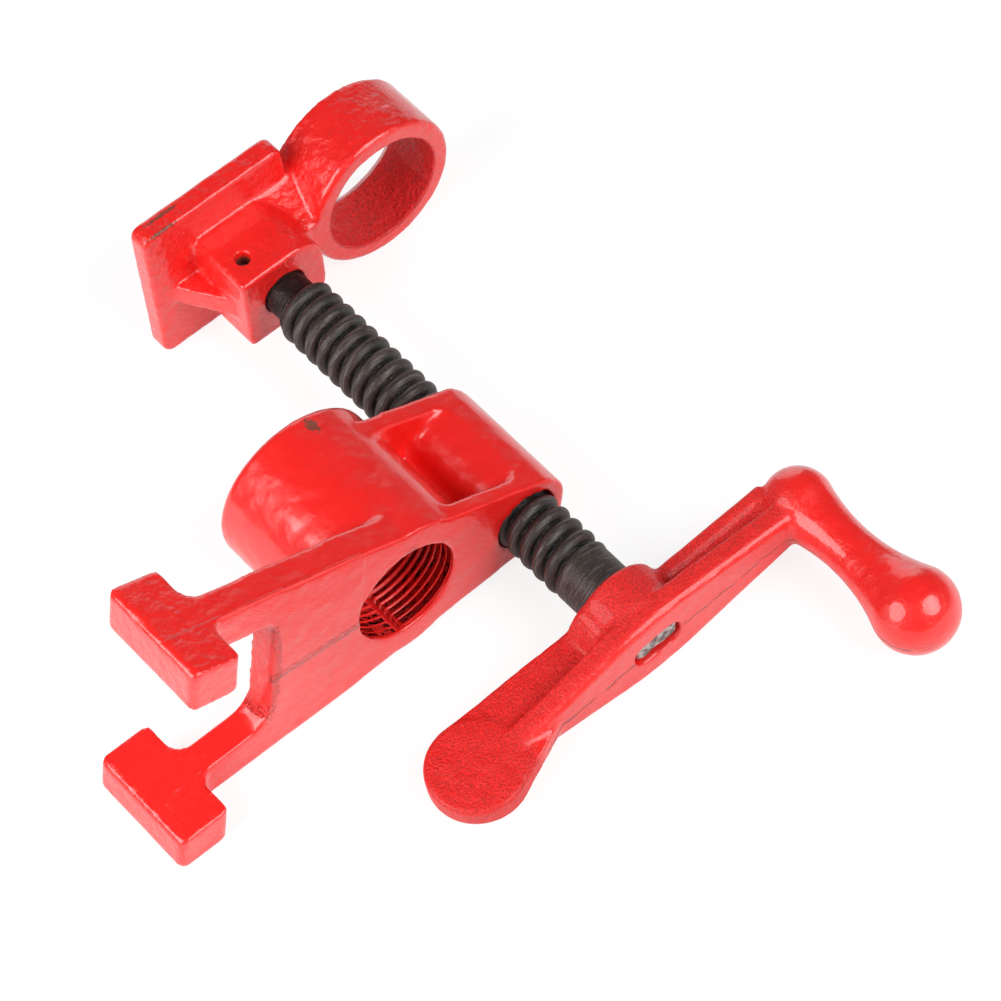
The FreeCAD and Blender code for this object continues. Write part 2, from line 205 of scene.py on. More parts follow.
class Finish:
    """A material and the node graph behind it."""

    def __init__(self, name):
        self.material = bpy.data.materials.new(name)
        self.material.use_nodes = True
        self.tree = self.material.node_tree
        self.shader = self.tree.nodes["Principled BSDF"]
        self.place = self.node("ShaderNodeTexCoord", {}, {}, "Object")

    def node(self, kind, settings, values, output=0):
        """Add a node, set it up, fill or link its inputs, and give back one output."""
        made = self.tree.nodes.new(kind)
        for name, value in settings.items():
            setattr(made, name, value)
        for name, value in values.items():
            if isinstance(value, Socket):
                self.tree.links.new(value.link, made.inputs[name])
            else:
                made.inputs[name].default_value = value
        return Socket(self, made.outputs[output])

    def noise(self, size, detail=2.0):
        """Soft spots about size millimetres across, from 0 to 1."""
        values = {"Vector": self.place, "Scale": 1 / (size * MM), "Detail": detail}
        return self.node("ShaderNodeTexNoise", {}, values)

    def along(self, matrix, axis):
        """Millimetres along one of a piece's own directions."""
        direction = matrix.col[axis].to_3d()
        start = direction.dot(matrix.translation)
        settings = {"operation": "DOT_PRODUCT"}
        distance = self.node("ShaderNodeVectorMath", settings, {0: self.place, 1: direction}, "Value")
        return (distance - start) * (1 / MM)

    def streaks(self, *parts):
        """Noise stretched by three scaled directions, from 0 to 1."""
        place = self.node("ShaderNodeCombineXYZ", {}, dict(enumerate(parts)))
        values = {"Vector": place, "Scale": 1.0, "Detail": STREAK_DETAIL}
        return self.node("ShaderNodeTexNoise", {}, values)

    def from_line(self, matrix, place):
        """Distance in millimetres from a line along X of a piece's own directions."""
        total = 0
        for axis, start in zip((Y_AXIS, Z_AXIS), place):
            away = self.along(matrix, axis) - start
            total = away * away + total
        return total.math("SQRT", total)

    def spot(self, matrix, centre, reach, ragged=0.5):
        """1 in a patch round a place in a piece's own millimetres, with a ragged edge."""
        total = self.noise(RAGGED_SIZE, 3.0) * (4 * ragged) - 2 * ragged
        for axis in AXES:
            away = (self.along(matrix, axis) - centre[axis]) * (1 / reach[axis])
            total = away * away + total
        return 1 - total.step(*SPOT_EDGE)

    def mix(self, mask, first, second):
        """First colour where mask is 0, second where it is 1."""
        values = {MIX_MASK: mask, MIX_FIRST: first, MIX_SECOND: second}
        return self.node("ShaderNodeMix", {"data_type": "RGBA"}, values, MIX_RESULT)

    def set(self, **values):
        """Put values or formulas on the shader's own sockets."""
        for name, value in values.items():
            socket = self.shader.inputs[name.replace("_", " ")]
            if isinstance(value, Socket):
                self.tree.links.new(value.link, socket)
            else:
                socket.default_value = value

    def relief(self, height):
        """Bend the shading as if the surface had this height, in millimetres."""
        values = {"Height": height * MM, "Strength": 1.0, "Distance": 1.0}
        self.set(Normal=self.node("ShaderNodeBump", {}, values))


def rgb(red, green, blue):
    """A colour that covers fully."""
    return (red, green, blue, 1.0)


print("a formula adds its own Math nodes, and a Finish is one material")

# %% [markdown]
# ## Red enamel
# The castings are dipped or sprayed in thick glossy enamel over rough iron. The colour is even. What
# the eye reads as painted iron is the gloss broken up by a wavy, orange-peel surface. A plain glossy
# red would look like plastic, so the enamel takes three rules from each casting: its relief, where
# it is chipped to the iron or darkened with painted shade, and where it lies thin and dull with dark pits.

# %% Enamel
RED = rgb(0.93, 0.016, 0.012)
DEEP_RED = rgb(0.85, 0.011, 0.009)
PIT_RED = rgb(0.40, 0.006, 0.006)
# Iron of the chips; the same brown is also painted shade in the handle's slot and the jaw's pin hole.
BARE_IRON_AND_SHADE = rgb(0.17, 0.055, 0.032)
FULL_COAT = 0.8
THIN_COAT_LOSS = 0.6
ENAMEL_ROUGHNESS = 0.3
PIT_SIZE = 0.32
PIT_STRENGTH = 0.75
BARE_AND_SHADE_STRENGTH = 0.9


def enamel(name, relief_rule, bare_and_shade_rule, thin_rule):
    """Gloss paint: the second rule gives its chips and its painted shade in slots and holes, the thin rule where
    it lies thin on rough iron.
    """
    finish = Finish(name)
    thin = thin_rule(finish)
    pits = 1 - finish.noise(PIT_SIZE, 2.0).step(0.38, 0.60)
    colour = finish.mix(finish.noise(7.0), DEEP_RED, RED)
    colour = finish.mix(pits * thin * PIT_STRENGTH, colour, PIT_RED)
    # Chips take the iron colour, and the painted shade in slots and holes takes it too.
    bare_and_shade = bare_and_shade_rule(finish)
    colour = finish.mix(bare_and_shade * BARE_AND_SHADE_STRENGTH, colour, BARE_IRON_AND_SHADE)
    coat = (1 - bare_and_shade) * (FULL_COAT - thin * THIN_COAT_LOSS)
    finish.set(Base_Color=colour, Coat_Weight=coat, Coat_Roughness=0.09)
    finish.set(Roughness=finish.noise(2.0) * 0.1 + thin * 0.2 + ENAMEL_ROUGHNESS)
    finish.relief(relief_rule(finish))
    print(name, len(finish.tree.nodes), "nodes")
    return finish


WAVE_SIZE = 5.0
PEEL_SIZE = 1.4
GRAIN_SIZE = 0.55


def skin(finish, waves, peel, grain):
    """Relief of painted iron from three heights: long waves, orange peel and sand grain."""
    height = finish.noise(WAVE_SIZE, 1.0) * waves + finish.noise(PEEL_SIZE, 1.0) * peel
    return height + finish.noise(GRAIN_SIZE, 2.0) * grain


# %% [markdown]
# ## Marks on the head
# The two halves of its mould met along a line that runs up the front face from the arch to the pipe
# hole, and left a low bumpy ridge. The front face is ground, which leaves slanting scratches. The
# arch and the feet are as rough as the mould left them, a burr stands on the rim of the pipe hole,
# and the paint is chipped at the back of the socket. None of it changes the outline, so bump will do.

# %% Head enamel
SEAM_SLANT = 0.055
SEAM_OFFSET = -0.1
SEAM_WANDER = 0.8
SEAM_TOP = -13.0
SEAM_HEIGHT = 2.2
SHELF_HEIGHT = 0.15
SCRATCH_DEPTH = 0.12
FACE_BEGINS = (-0.8, -0.3)
FACE_ENDS = (0.3, 0.8)
FEET_END = (-52, -38)
ARCH_WALL = {"centre": (-4, -36, 0), "reach": (6, 3, 20)}
BURR = {"centre": (0, 0, 13.5), "reach": (1.6, 1.3, 1.3)}
SOCKET_CHIP = {"centre": (-35.3, 1.5, 19.6), "reach": (2.3, 1.5, 1.7), "ragged": 0.9}


def head_seam(finish):
    """The ridge of the parting line, and one side of the face a little higher than the other."""
    along, upright, across = (finish.along(HEAD, axis) for axis in AXES)
    wander = finish.noise(2.5) * SEAM_WANDER - SEAM_WANDER / 2
    seam = across - upright * SEAM_SLANT - SEAM_OFFSET + wander
    on_face = along.step(*FACE_BEGINS) * (1 - upright.step(SEAM_TOP - 0.5, SEAM_TOP + 0.5))
    ridge = (1 - seam.size().step(0.5, 1.3)) * finish.noise(1.1, 1.0)
    return (ridge * SEAM_HEIGHT + seam.step(-0.3, 0.3) * SHELF_HEIGHT) * on_face


def head_scratches(finish):
    """Slanting marks of the grinding wheel, on the front face alone."""
    along, upright, across = (finish.along(HEAD, axis) for axis in AXES)
    marks = finish.streaks(upright * 0.9 + across * 0.9, (across - upright) * 0.12, along * 0.1)
    return marks * SCRATCH_DEPTH * along.step(*FACE_BEGINS) * (1 - along.step(*FACE_ENDS))


def head_relief(finish):
    """Painted skin with all marks of the mould and the wheel."""
    feet = 1 - finish.along(HEAD, Y_AXIS).step(*FEET_END)
    wall = finish.spot(HEAD, **ARCH_WALL)
    rough = finish.noise(2.6, 2.0) * (wall * 0.9 + feet * 0.6)
    burr = finish.spot(HEAD, **BURR) * finish.noise(0.9, 2.0) * 2.0
    painted = skin(finish, waves=0.6, peel=0.09, grain=0.01)
    return painted + head_seam(finish) + head_scratches(finish) + rough + burr


def head_chips(finish):
    """One chip at the back of the socket."""
    return finish.spot(HEAD, **SOCKET_CHIP)


def head_thin(finish):
    """The paint is thin on the wall of the arch."""
    return finish.spot(HEAD, **ARCH_WALL) * 0.5


head_enamel = enamel("red_enamel", head_relief, head_chips, head_thin)

# %% [markdown]
# ## Enamel in the pipe hole
# The paint ran into the pipe thread too. It is thin there and dull, and painted shade makes the
# grooves darker. The distance from the pipe's axis tells the shader how deep in a groove it is.

# %% Thread enamel
THREAD_RED = rgb(0.90, 0.015, 0.012)
# Painted shade: this darker red fills the grooves of the pipe thread.
THREAD_SHADE_RED = rgb(0.62, 0.008, 0.007)
GROOVE_DEPTH = (12.7, 13.4)


def shadowed_enamel(name):
    """Enamel that has run thin in the pipe thread, with painted shade darkening its grooves."""
    finish = Finish(name)
    # Painted shade: the deeper in a groove, the darker the red.
    depth = finish.from_line(HEAD, PIPE_LINE).step(*GROOVE_DEPTH)
    finish.set(Base_Color=finish.mix(depth, THREAD_RED, THREAD_SHADE_RED))
    finish.set(Roughness=finish.noise(1.0) * 0.2 + 0.3, Coat_Weight=0.1, Coat_Roughness=0.15)
    finish.relief(skin(finish, waves=0.3, peel=0.15, grain=0.05))
    return finish


thread_enamel = shadowed_enamel("thread_enamel")
print("thread_enamel", len(thread_enamel.tree.nodes), "nodes")

# %% [markdown]
# ## Marks on the jaw
# The jaw's enamel is more wrinkled than the head's. Its plate has lost paint at one edge, in two thin
# streaks, and the inside of its pin hole is painted dark brown, as painted shade. Inside the pipe ring
# the paint is thin over sandy iron.

# %% Jaw enamel
RING_INSIDE = (14.9, 15.6)
UPPER_STREAK = {"centre": (-103.2, -14.6, 20.8), "reach": (0.5, 5.0, 1.2), "ragged": 0.9}
LOWER_STREAK = {"centre": (-99.8, -17.4, 20.8), "reach": (0.4, 4.2, 1.2), "ragged": 0.9}
# Painted shade: the inside of the pin hole is coloured dark.
PIN_HOLE = {"centre": (-88.3, -5.45, 5.2), "reach": (2.2, 2.2, 8.0), "ragged": 0.0}


def jaw_thin(finish):
    """The inside of the pipe ring."""
    return 1 - finish.from_line(JAW, RING_LINE).step(*RING_INSIDE)


def jaw_relief(finish):
    """Painted skin with wrinkles, and sandy inside the ring."""
    wrinkles = finish.noise(2.2, 3.0) * 0.6
    sand = finish.noise(0.9, 3.0) * (jaw_thin(finish) * 0.6)
    return skin(finish, waves=0.6, peel=0.16, grain=0.02) + wrinkles + sand


def jaw_chips_and_shade(finish):
    """Painted shade in the pin hole, and two streaks of lost paint at the edge of the plate."""
    bare_and_shade = finish.spot(JAW, **PIN_HOLE)
    for streak in (UPPER_STREAK, LOWER_STREAK):
        bare_and_shade = bare_and_shade.math("MAXIMUM", bare_and_shade, finish.spot(JAW, **streak))
    return bare_and_shade


jaw_enamel = enamel("jaw_enamel", jaw_relief, jaw_chips_and_shade, jaw_thin)

# %% [markdown]
# ## Marks on the handle
# The handle is painted thinly over sandy iron, except on its front edge and its grip, which hands and
# the mould made smooth. A fine cold crack, where two tongues of iron met in the mould, runs along the
# middle of the arm's front. The slot's walls are painted dark brown, as painted shade round the tang.

# %% Handle enamel
HANDLE_FRONT = 41.0
CRACK_OFFSET = -0.5
CRACK_WANDER = 3.0
CRACK_DEPTH = 0.6
# Painted shade: the slot's walls are coloured dark brown where the gap round the tang lies in shade.
SLOT = {"centre": (36.5, 0, 0), "reach": (5.4, 7.4, 4.2), "ragged": 0.3}
FRONT_EDGE = (38.5, 41.5)
ARM_BEGINS = (-34, -30)
ARM_ENDS = (36, 39)
PADDLE_ENDS = (-37, -33)
GRIP_BEGINS = (36, 46)


def handle_thin(finish):
    """The web and the paddle, behind the smooth front edge, and not the grip."""
    upright = finish.along(HANDLE, Y_AXIS)
    smooth_edge = finish.along(HANDLE, X_AXIS).step(*FRONT_EDGE) * upright.step(*PADDLE_ENDS)
    return (1 - smooth_edge * 0.7) * (1 - upright.step(*GRIP_BEGINS))


def handle_crack(finish):
    """A broken, wandering line on the front of the arm."""
    forward = finish.along(HANDLE, X_AXIS).step(HANDLE_FRONT, HANDLE_FRONT + 0.6)
    wander = finish.noise(4.0, 3.0) * CRACK_WANDER - CRACK_WANDER / 2
    aside = finish.along(HANDLE, Z_AXIS) - CRACK_OFFSET + wander
    upright = finish.along(HANDLE, Y_AXIS)
    on_arm = upright.step(*ARM_BEGINS) * (1 - upright.step(*ARM_ENDS))
    line = 1 - aside.size().step(0.1, 0.32)
    return line * finish.noise(6.0).step(0.32, 0.44) * forward * on_arm


def handle_relief(finish):
    """Painted skin, sandy where the paint is thin, with the crack sunk into it."""
    sand = finish.noise(GRAIN_SIZE, 2.0) * handle_thin(finish) * 0.3
    painted = skin(finish, waves=0.7, peel=0.15, grain=0.05)
    return painted + sand - handle_crack(finish) * CRACK_DEPTH


def handle_crack_and_slot_shade(finish):
    """Painted shade on the walls of the slot, and most of the crack."""
    # The slot's dark walls are painted shade; the crack is a dark line.
    slot = finish.spot(HANDLE, **SLOT)
    return slot.math("MAXIMUM", slot, handle_crack(finish) * 0.75)


grainy_enamel = enamel("grainy_red_enamel", handle_relief, handle_crack_and_slot_shade, handle_thin)

# %% [markdown]
# ## Steels
# The screw is plain steel with a black oxide skin under old oil, with brown stains and golden specks.
# Painted shade makes it nearly black in the grooves and greyer towards the crests, and lighter streaks
# on the crests are partly wear and partly a painted highlight. The marks of the thread-cutting run round
# it. The pin, the disc and the hammered tang are the same steel without the black skin, and mottled.

# %% Steels
# Painted shade: the grooves of the screw are coloured nearly black.
GROOVE_SHADE_BLACK = rgb(0.006, 0.005, 0.005)
CREST_GREY = rgb(0.042, 0.034, 0.031)
# Crest streaks: partly wear, partly a painted highlight.
WORN_AND_SHEEN_GREY = rgb(0.15, 0.12, 0.11)
STAIN_BROWN = rgb(0.055, 0.036, 0.030)
SPECK_GOLD = rgb(0.24, 0.13, 0.07)
HAMMERED_DARK = rgb(0.10, 0.09, 0.085)
HAMMERED_LIGHT = rgb(0.50, 0.46, 0.43)
FLANK = (6.3, 7.0)
CREST = (6.6, 7.3)
CUTTING_MARKS = 2.6
MARK_DRIFT = 0.2


def dark_steel(name):
    """Black oxide under oil, darkened with painted shade in the grooves by the distance from the screw's axis."""
    finish = Finish(name)
    stains = finish.noise(2.5, 4.0)
    specks = finish.noise(0.45, 2.0)
    radius = finish.from_line(SCREW, SCREW_LINE)
    along, upright, across = (finish.along(SCREW, axis) for axis in AXES)
    rounds = finish.streaks(along * CUTTING_MARKS, upright * MARK_DRIFT, across * MARK_DRIFT)
    # Lighter streaks on the crests: partly wear, partly a painted highlight.
    worn_and_sheen = rounds.step(0.5, 0.66) * radius.step(*CREST)
    # Painted shade: nearly black in the grooves, greyer towards the crests.
    colour = finish.mix(radius.step(*FLANK), GROOVE_SHADE_BLACK, CREST_GREY)
    colour = finish.mix(stains.step(0.45, 0.7) * 0.5, colour, STAIN_BROWN)
    colour = finish.mix(specks.step(0.62, 0.72) * 0.55, colour, SPECK_GOLD)
    colour = finish.mix(worn_and_sheen * 0.75, colour, WORN_AND_SHEEN_GREY)
    finish.set(Base_Color=colour, Metallic=0.3, Roughness=stains * 0.2 + 0.36)
    finish.relief(stains * 0.06 + specks * 0.09 + rounds * 0.14)
    return finish


def bright_steel(name):
    """Bare grey steel, mottled by small dents."""
    finish = Finish(name)
    dents = finish.noise(1.6, 3.0)
    finish.set(Base_Color=finish.mix(dents.step(0.36, 0.6), HAMMERED_DARK, HAMMERED_LIGHT))
    finish.set(Metallic=0.35, Roughness=dents * 0.2 + 0.4)
    finish.relief(dents * 0.16)
    return finish


oxide_steel = dark_steel("black_oxide_steel")
plain_steel = bright_steel("bare_steel")
for steel in (oxide_steel, plain_steel):
    print(steel.material.name, len(steel.tree.nodes), "nodes")

# %% [markdown]
# ## Small tools for meshes
# Blender's operators act on what is selected, so the first helper selects one piece. The others copy
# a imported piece, apply a modifier at once, and read or write all points of a mesh as one array, which
# is far quicker than a loop over its points.

# %% Mesh helpers
MERGE_DISTANCE = 0.001 * MM


def pick(piece):
    """Make one piece the only selected and active one."""
    bpy.ops.object.select_all(action="DESELECT")
    piece.select_set(True)
    bpy.context.view_layer.objects.active = piece


def copy_of(node, name):
    """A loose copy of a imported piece, with its doubled points merged."""
    piece = bpy.data.objects.new(name, frame["nodes"][node].data.copy())
    bpy.context.collection.objects.link(piece)
    pick(piece)
    bpy.ops.object.mode_set(mode="EDIT")
    bpy.ops.mesh.select_all(action="SELECT")
    bpy.ops.mesh.remove_doubles(threshold=MERGE_DISTANCE)
    bpy.ops.object.mode_set(mode="OBJECT")
    return piece


def apply_modifier(piece, kind, **settings):
    """Add a modifier with these settings and apply it at once."""
    pick(piece)
    modifier = piece.modifiers.new(kind.lower(), kind)
    for name, value in settings.items():
        setattr(modifier, name, value)
    bpy.ops.object.modifier_apply(modifier=modifier.name)


def points_of(piece):
    """All points of a mesh, one row for each."""
    points = np.empty(len(piece.data.vertices) * 3)
    piece.data.vertices.foreach_get("co", points)
    return points.reshape(-1, 3)


def put_points(piece, points):
    """Write all points back into the mesh."""
    piece.data.vertices.foreach_set("co", points.ravel())
    piece.data.update()


def dress(piece, finish):
    """Shade a piece smoothly and give it one finish."""
    pick(piece)
    bpy.ops.object.shade_smooth()
    piece.data.materials.clear()
    piece.data.materials.append(finish.material)


print("mesh helpers ready")

# %% [markdown]
# ## From a machined shape to a casting
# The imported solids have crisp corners. Real castings don't: corners are rounded by the mould and
# hollow corners are filled by a fillet. A voxel remesh turns a copy of the solid into an even skin
# of small squares, and smoothing that skin rounds it. Hollow corners are smoothed for longer than
# outside ones, because a pattern maker fills them with wax but keeps the outside sizes. Machined
# holes must stay round and clear, so they are opened again to their radius.

# %% Casting helpers
SMOOTHING_STEP = 0.5
SKIN_REACH = 1.0


def soften(piece, hollow_rounds, outside_rounds):
    """Smooth a skin, for longer where that adds iron than where it takes iron away."""
    mesh = piece.data
    edges = np.empty(len(mesh.edges) * 2, dtype=np.int64)
    mesh.edges.foreach_get("vertices", edges)
    first, second = edges.reshape(-1, 2).T
    points = points_of(piece)
    count = np.bincount(np.concatenate([first, second]), minlength=len(points))[:, None]
    for turn in range(hollow_rounds):
        total = np.zeros_like(points)
        for axis in AXES:
            total[:, axis] += np.bincount(first, points[second, axis], len(points))
            total[:, axis] += np.bincount(second, points[first, axis], len(points))
        step = (total / count - points) * SMOOTHING_STEP
        if turn >= outside_rounds:
            put_points(piece, points)
            normals = np.empty(len(points) * 3)
            mesh.vertex_normals.foreach_get("vector", normals)
            outward = np.einsum("ij,ij->i", step, normals.reshape(-1, 3))
            step[outward < 0] = 0
        points = points + step
    put_points(piece, points)


def keep_inside(piece, node):
    """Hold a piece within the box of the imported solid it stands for."""
    low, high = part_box(node)
    put_points(piece, np.clip(points_of(piece), low, high))


def clear_bore(piece, place, radius, start, end):
    """Push the skin of a hole along the screw's direction out to its radius, from start to end."""
    points = points_of(piece)
    offset = points - np.array(place)
    along = np.array(ALONG)
    height = offset @ along
    offset -= np.outer(height, along)
    distance = np.linalg.norm(offset, axis=1)
    near = (distance < radius * MM) & (distance > (radius - SKIN_REACH) * MM)
    near = near & (height > start * MM) & (height < end * MM)
    points[near] += offset[near] * ((radius * MM) / distance[near] - 1)[:, None]
    put_points(piece, points)


def roughen(piece, size, depth):
    """Sink soft dents of some size and depth, in millimetres, into a skin."""
    texture = bpy.data.textures.new("dents", "CLOUDS")
    texture.noise_scale = size * MM
    texture.noise_depth = 1
    apply_modifier(piece, "DISPLACE", texture=texture, strength=depth * MM, mid_level=1.0,
                   texture_coords="LOCAL")


def cast(piece, voxel, hollow_rounds, outside_rounds, dent_size, dent_depth):
    """Turn a solid into a softened and dented skin."""
    apply_modifier(piece, "REMESH", mode="VOXEL", voxel_size=voxel * MM)
    soften(piece, hollow_rounds, outside_rounds)
    roughen(piece, dent_size, dent_depth)


def finish_casting(piece, node, body, finish):
    """Hold a casting in its box, dress it and hand it over."""
    keep_inside(piece, node)
    dress(piece, finish)
    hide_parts(node)
    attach(piece, body)
    print(piece.name, len(piece.data.polygons), "faces")


print("casting helpers ready")

# %% [markdown]
# ## The head casting
# Two legs, an arch, and a thick socket for the pipe. The pipe hole is first bored wider for most of
# its length, because its thread is a piece of its own, set into that groove. The skin's squares are
# larger than on the smaller castings, and its dents are wider.

# %% Head casting
PIPE_SEAT_RADIUS = 13.8
PIPE_SEAT_BACK = -38.0
PIPE_SEAT_FRONT = -1.3
PIPE_HOLE_RADIUS = 12.6
SCREW_HOLE_RADIUS = 7.6
HEAD_LENGTH = (-60.0, 5.0)
DRILL_SIDES = 96


def bore_out(piece, radius, start, end):
    """Cut a round groove into the pipe hole with a Boolean, between two places along it."""
    length = (end - start) * MM
    bpy.ops.mesh.primitive_cylinder_add(vertices=DRILL_SIDES, radius=radius * MM, depth=length)
    drill = bpy.context.object
    drill.data.transform(Matrix.Rotation(math.pi / 2, 4, "Y"))
    drill.data.transform(HEAD @ Matrix.Translation(((start + end) / 2 * MM, 0, 0)))
    apply_modifier(piece, "BOOLEAN", operation="DIFFERENCE", object=drill, solver="EXACT")
    bpy.data.objects.remove(drill)


head = copy_of("head_casting", "head_iron")
bore_out(head, PIPE_SEAT_RADIUS, PIPE_SEAT_BACK, PIPE_SEAT_FRONT)
cast(head, voxel=0.6, hollow_rounds=16, outside_rounds=2, dent_size=6.0, dent_depth=0.12)
clear_bore(head, SCREW_PLACE, SCREW_HOLE_RADIUS, *HEAD_LENGTH)
clear_bore(head, Vector((0, 0, 0)), PIPE_HOLE_RADIUS, *HEAD_LENGTH)
finish_casting(head, "head_casting", "head", head_enamel)

# %% [markdown]
# ## The sliding jaw
# A plate, a boss round the end of the screw, and a ring for the pipe, in one casting. Finer squares
# keep its thin plate and its gusset crisp. Only the hole for the screw is opened again: the ring is
# left as the mould made it.

# %% Sliding jaw
JAW_HOLE_RADIUS = 5.5
JAW_HOLE = (-97.0, -75.0)
jaw = copy_of("sliding_jaw", "jaw_iron")
cast(jaw, voxel=0.42, hollow_rounds=24, outside_rounds=3, dent_size=3.0, dent_depth=0.14)
clear_bore(jaw, SCREW_PLACE, JAW_HOLE_RADIUS, *JAW_HOLE)
finish_casting(jaw, "sliding_jaw", "jaw", jaw_enamel)

# %% [markdown]
# ## The crank handle
# A hub, an arm with a grip on one side and a thumb paddle on the other. It takes the most rounds of
# smoothing, because a hand has to turn it, and it rides on the screw's body, with which it turns.

# %% Crank handle
HUB_HOLE = (20.0, 33.5)
handle = copy_of("crank_handle", "handle_iron")
cast(handle, voxel=0.42, hollow_rounds=28, outside_rounds=3, dent_size=4.0, dent_depth=0.1)
clear_bore(handle, SCREW_PLACE, SCREW_HOLE_RADIUS, *HUB_HOLE)
finish_casting(handle, "crank_handle", "screw", grainy_enamel)

# %% [markdown]
# ## Tubes made of rings
# Both threads start as a plain cylinder along X, in millimetres. Its long edges are cut up into
# rings, and each point then moves to the radius that a rule gives for its place and angle. The rule
# makes a true helix, which a stack of closed rings would not be.

# %% Tube helpers
ROUNDS_OF_CUTS = 2
SHORTEST_LONG_EDGE = 0.01
ON_AXIS = 1e-9


def cut_long_edges(tube, cuts):
    """Subdivide the edges that run along X. One call makes at most a hundred cuts."""
    bpy.ops.object.mode_set(mode="EDIT")
    bpy.ops.mesh.select_mode(type="EDGE")
    bpy.ops.mesh.select_all(action="DESELECT")
    bpy.ops.object.mode_set(mode="OBJECT")
    for edge in tube.data.edges:
        one, two = (tube.data.vertices[index].co for index in edge.vertices)
        edge.select = abs(one.x - two.x) > SHORTEST_LONG_EDGE
    bpy.ops.object.mode_set(mode="EDIT")
    bpy.ops.mesh.subdivide(number_cuts=cuts)
    bpy.ops.object.mode_set(mode="OBJECT")


def ring_tube(name, radius, start, end, sides, cuts, caps="NOTHING"):
    """Tube along X whose long edges are cut up twice to make rings."""
    bpy.ops.object.select_all(action="DESELECT")
    bpy.ops.mesh.primitive_cylinder_add(vertices=sides, radius=radius, depth=end - start,
                                        end_fill_type=caps)
    tube = bpy.context.object
    tube.name = name
    middle = Matrix.Translation(((start + end) / 2, 0, 0))
    tube.data.transform(middle @ Matrix.Rotation(math.pi / 2, 4, "Y"))
    for round_of_cuts in range(ROUNDS_OF_CUTS):
        cut_long_edges(tube, cuts)
    return tube


def set_radius(tube, radius_at):
    """Move every point of a tube to the radius that the rule gives for its place and angle."""
    points = points_of(tube)
    angle = np.arctan2(points[:, 2], points[:, 1])
    old = np.hypot(points[:, 1], points[:, 2])
    radius = radius_at(points[:, 0], angle)
    rim = old > ON_AXIS
    points[rim, 1:] *= (radius[rim] / old[rim])[:, None]
    put_points(tube, points)


def smooth(value, low, high):
    """0 below low, 1 above high, and smooth between."""
    share = np.clip((value - low) / (high - low), 0, 1)
    return share * share * (3 - 2 * share)


def ridge_place(x, angle, pitch, start=0):
    """How far a point has come from one groove of a helix to the next: -1 to 1, and 0 on the ridge."""
    return 2 * ((x / pitch - angle / (2 * math.pi) - start) % 1.0) - 1


print("tube helpers ready")

# %% [markdown]
# ## The thread in the pipe socket
# A pipe screws into the head, so the hole has a fine thread. It is a sleeve of its own, an inner tube
# with the thread and a plain outer tube, joined at both ends. The hole was cast in two halves that
# don't quite meet: half a turn lies between their ridges, and a narrow gap runs down each side.

# %% Pipe thread
PIPE_PITCH = 25.4 / 14
PIPE_CREST = 12.62
PIPE_ROOT = 13.5
RIDGE_SHARPNESS = 1.4
FLAT_ROOT = 1.15
THREAD_FADE = (0.9, 1.8)
HALVES_MEET = math.radians(1.0)
GAP_ANGLE = math.radians(91)
GAP_HALF_WIDTH = math.radians(1.6)
SLEEVE_RADIUS = 14.4
SLEEVE_BACK = -38.4
SLEEVE_FRONT = -0.8
SLEEVE_SIDES = 144
THREAD_CUTS = 13


def pipe_thread_radius(x, angle):
    """Two half threads, out of step by half a turn, with a gap where they meet."""
    lower_half = np.cos(angle + HALVES_MEET) < 0
    ridge = 1 - np.abs(ridge_place(x, angle, PIPE_PITCH, -0.5 * lower_half))
    depth = np.clip(FLAT_ROOT - ridge * RIDGE_SHARPNESS, 0, 1) * smooth(-x, *THREAD_FADE)
    side = np.abs(np.abs(angle) - GAP_ANGLE)
    radius = PIPE_CREST + (PIPE_ROOT - PIPE_CREST) * depth
    return np.where(side < GAP_HALF_WIDTH, PIPE_ROOT, radius)


def join_ends(inner, outer):
    """Join two open tubes and close the gaps between their ends."""
    pick(inner)
    outer.select_set(True)
    bpy.ops.object.join()
    bpy.ops.object.mode_set(mode="EDIT")
    bpy.ops.mesh.select_all(action="DESELECT")
    bpy.ops.mesh.select_non_manifold()
    bpy.ops.mesh.bridge_edge_loops(type="PAIRS")
    bpy.ops.mesh.select_all(action="SELECT")
    bpy.ops.mesh.normals_make_consistent(inside=False)
    bpy.ops.object.mode_set(mode="OBJECT")
    return bpy.context.object


inner = ring_tube("pipe_thread", PIPE_ROOT, SLEEVE_BACK, SLEEVE_FRONT, SLEEVE_SIDES, THREAD_CUTS)
set_radius(inner, pipe_thread_radius)
outer = ring_tube("pipe_thread_back", SLEEVE_RADIUS, SLEEVE_BACK, SLEEVE_FRONT, SLEEVE_SIDES, 1)
pipe_thread = join_ends(inner, outer)
pipe_thread.data.transform(HEAD @ Matrix.Scale(MM, 4))
dress(pipe_thread, thread_enamel)
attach(pipe_thread, "head")
print(pipe_thread.name, len(pipe_thread.data.polygons), "faces")

# %% [markdown]
# ## The clamp screw
# A coarse rounded thread with a 4 millimetre lead, cut on a black bar. It runs out on the plain
# shank at the handle. At the other end a thinner neck goes into the jaw, with a groove for the pin
# and a bevelled tip. The same tube of rings makes all of it, from one rule for the radius.

# %% Screw
LEAD = 4.0
THREAD_CREST = 7.5
THREAD_ROOT = 5.6
RIDGE_ROUNDNESS = 2.2
SHANK_RADIUS = 7.1
THREAD_START = -76.5
THREAD_END = 17.5
RUN_OUT = (THREAD_END - 2, THREAD_END + 1.5)
SHANK_END = 34.0
NECK_RADIUS = 5.4
SHOULDER_STEP = 0.2
SHOULDER_SLOPE = 1.3
TIP = -97.2
TIP_BEVEL = 0.8
GROOVE_RADIUS = 3.7
GROOVE_PLACE = -88.3
GROOVE_WIDTH = 4.2
THREAD_PHASE = 0.67
SCREW_SIDES = 72
SCREW_CUTS = 22


